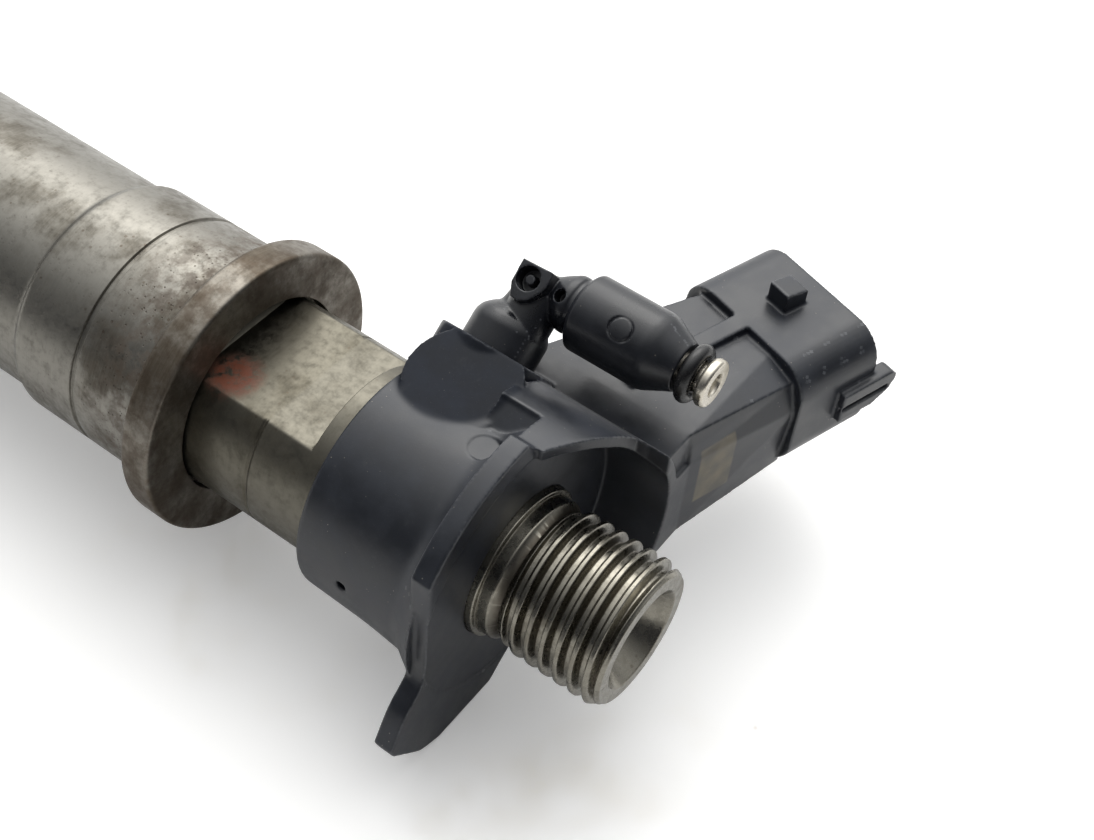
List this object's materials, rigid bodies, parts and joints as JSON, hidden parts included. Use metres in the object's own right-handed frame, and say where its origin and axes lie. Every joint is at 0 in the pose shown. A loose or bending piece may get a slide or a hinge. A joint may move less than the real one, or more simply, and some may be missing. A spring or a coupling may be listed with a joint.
{
  "type": "piezo diesel fuel injector",
  "caption": "Common-rail piezo injector with flanged steel body, threaded inlet, moulded plastic head with plug socket, side return elbow, and a full valve and needle train inside.",
  "frame": {"origin": "on the injector axis, in the plane of the clamp shoulder (the flange's front face)", "axes": "+X along the axis towards the high-pressure inlet, +Y towards the electrical connector, +Z square to the flats of the neck"},
  "size_m": [0.193, 0.0603, 0.0331],
  "materials": {
    "injector_body": "satin turned steel, stained",
    "connector_housing": "satin moulded plastic",
    "terminal_pins": "plated",
    "contact_leads": "drawn wire",
    "lead_seals": "matt",
    "return_elbow": "satin moulded plastic",
    "return_tip": "turned",
    "return_tip_seal": "wet gloss",
    "return_boss_seal": "matt",
    "inlet_filter": "ground",
    "actuator_shim": "ground",
    "actuator_head": "turned",
    "piezo_stack": "fired ceramic",
    "tube_spring": "rolled strip",
    "actuator_foot": "turned",
    "actuator_seal": "matt",
    "coupler_piston": "ground",
    "coupler_spring": "spring wire",
    "coupler_body": "turned",
    "valve_piston": "ground",
    "valve_plate": "lapped",
    "valve_bolt": "ground",
    "valve_spring": "spring wire",
    "throttle_plate": "lapped",
    "dowel_pins": "ground",
    "nozzle_body": "ground, heat-tinted tip",
    "nozzle_needle": "ground",
    "spring_sleeve": "turned",
    "needle_spring": "spring wire",
    "spring_shim": "ground",
    "nozzle_nut": "satin turned steel",
    "sealing_washer": "soft copper"
  },
  "bodies": {
    "injector": {"injector_body": "injector_body", "connector_housing": "connector_housing", "terminal_pins": "terminal_pins", "contact_leads": "contact_leads", "lead_seals": "lead_seals", "return_elbow": "return_elbow", "return_tip": "return_tip", "return_tip_seal": "return_tip_seal", "return_boss_seal": "return_boss_seal", "inlet_filter": "inlet_filter", "actuator_shim": "actuator_shim", "actuator_head": "actuator_head", "piezo_stack": "piezo_stack", "tube_spring": "tube_spring", "coupler_spring": "coupler_spring", "coupler_body": "coupler_body", "valve_plate": "valve_plate", "valve_spring": "valve_spring", "throttle_plate": "throttle_plate", "dowel_pins": "dowel_pins", "nozzle_body": "nozzle_body", "spring_sleeve": "spring_sleeve", "needle_spring": "needle_spring", "nozzle_nut": "nozzle_nut", "sealing_washer": "sealing_washer"},
    "drive": {"actuator_foot": "actuator_foot", "actuator_seal": "actuator_seal", "coupler_piston": "coupler_piston"},
    "valve": {"valve_piston": "valve_piston", "valve_bolt": "valve_bolt"},
    "needle": {"nozzle_needle": "nozzle_needle", "spring_shim": "spring_shim"}
  },
  "joints": [
    {"name": "stack_stroke", "type": "slide", "parent": "injector", "child": "drive", "axis": [-1, 0, 0], "range_m": [0, 0.00004], "deforming": ["piezo_stack", "tube_spring", "coupler_spring"]},
    {"name": "valve_stroke", "type": "slide", "parent": "injector", "child": "valve", "axis": [-1, 0, 0], "range_m": [0, 0.0001], "deforming": ["valve_spring"]},
    {"name": "needle_lift", "type": "slide", "parent": "injector", "child": "needle", "axis": [1, 0, 0], "range_m": [0, 0.00025], "deforming": ["needle_spring"]}
  ],
  "couplings": [
    {"joint": "valve_stroke", "follows": "stack_stroke", "ratio": 2.1157}
  ]
}
